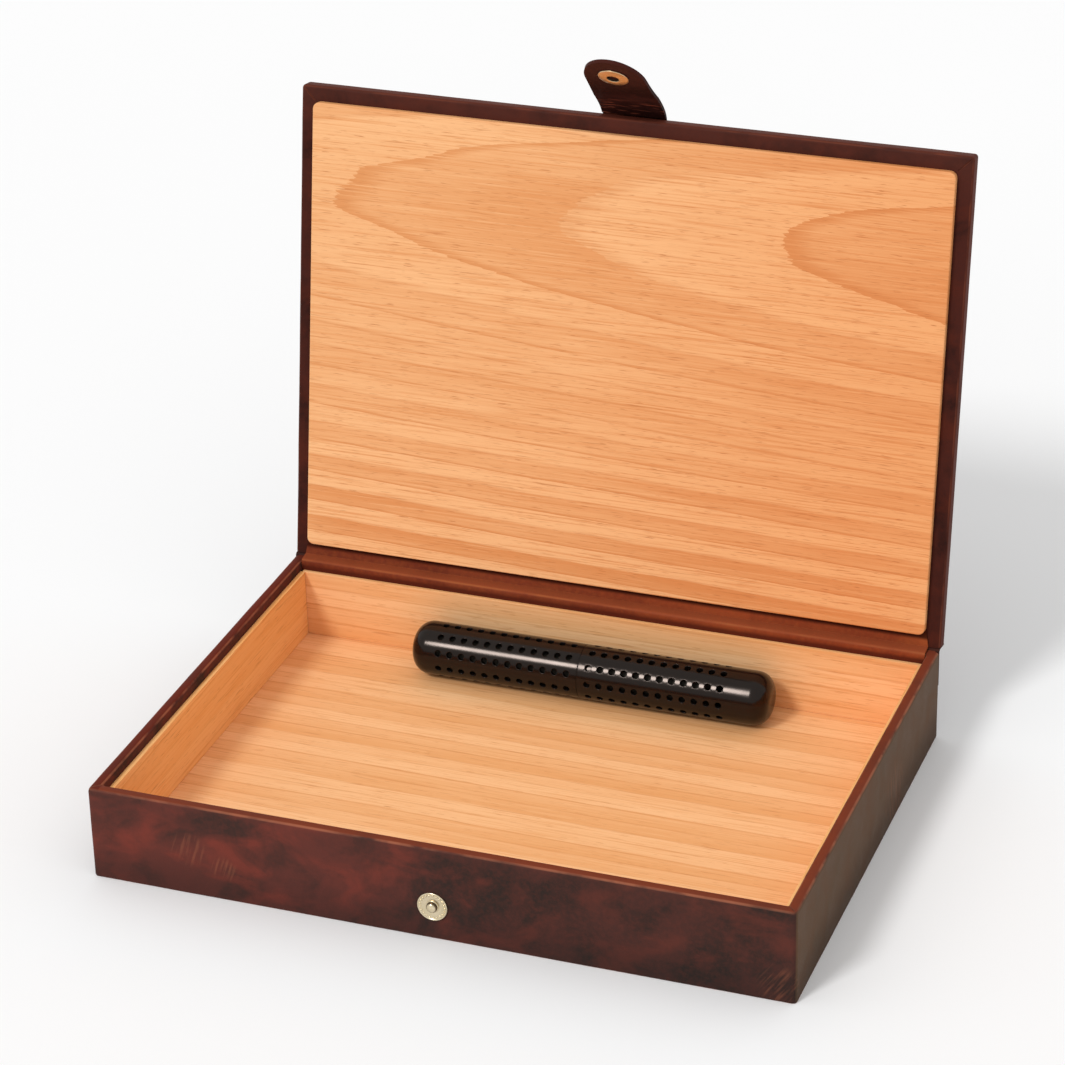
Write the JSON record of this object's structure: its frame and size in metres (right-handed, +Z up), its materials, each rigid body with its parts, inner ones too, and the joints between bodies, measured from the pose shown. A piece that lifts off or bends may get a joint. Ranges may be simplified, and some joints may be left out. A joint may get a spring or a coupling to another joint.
{
  "type": "cigar humidor",
  "caption": "Shallow leather-covered box with a cedar lining, a leather-hinged lid that closes with a press-stud tab, and a loose perforated humidifier tube.",
  "frame": {"origin": "middle of the underside, on the surface that the box stands on", "axes": "+X to the right along the hinge line, +Y to the back, +Z up"},
  "size_m": [0.25, 0.2188, 0.2432],
  "materials": {
    "leather": "waxed, mottled dark red-brown",
    "underside": "plain dark leather",
    "board": "raw board, hidden under leather",
    "cedar": "bare sanded Spanish cedar",
    "nickel": "polished, pale gold plating",
    "black_plastic": "glossy black",
    "foam": "absorbent stick"
  },
  "bodies": {
    "base": {"bottom_board": "board", "front_board": "board", "back_board": "board", "left_board": "board", "right_board": "board", "front_leather": "leather", "back_leather": "leather", "left_leather": "leather", "right_leather": "leather", "underside_cover": "underside", "cedar_floor": "cedar", "cedar_front_liner": "cedar", "cedar_back_liner": "cedar", "cedar_left_liner": "cedar", "cedar_right_liner": "cedar", "snap_stud": "nickel", "snap_stud_rivet": "nickel", "hinge_spine": "leather", "hinge_lining": "leather"},
    "lid": {"lid_board": "board", "lid_leather": "leather", "lid_cedar_panel": "cedar", "tab_root": "leather"},
    "tab": {"tab_strap": "leather", "tab_lining": "leather", "snap_socket": "nickel", "snap_spring": "nickel", "snap_cap": "nickel"},
    "humidifier": {"humidifier_tube": "black_plastic", "humidifier_core": "foam"},
    "humidifier_pull": {"humidifier_cap": "black_plastic"}
  },
  "joints": [
    {"name": "lid_hinge", "type": "hinge", "parent": "base", "child": "lid", "pos_m": [0, 0.09, 0.03515], "axis": [1, 0, 0], "range_deg": [0, 99], "deforming": ["hinge_spine", "hinge_lining"]},
    {"name": "tab_flex", "type": "hinge", "parent": "lid", "child": "tab", "pos_m": [0, 0.12612, 0.21623], "axis": [1, 0, 0], "range_deg": [-57, 33], "stiffness_Nm_per_rad": 0.05},
    {"name": "humidifier_slide", "type": "slide", "parent": "base", "child": "humidifier", "axis": [0, -1, 0], "range_m": [-0.003, 0.14]},
    {"name": "cap_pull", "type": "slide", "parent": "humidifier", "child": "humidifier_pull", "axis": [1, 0, 0], "range_m": [0, 0.035]}
  ]
}
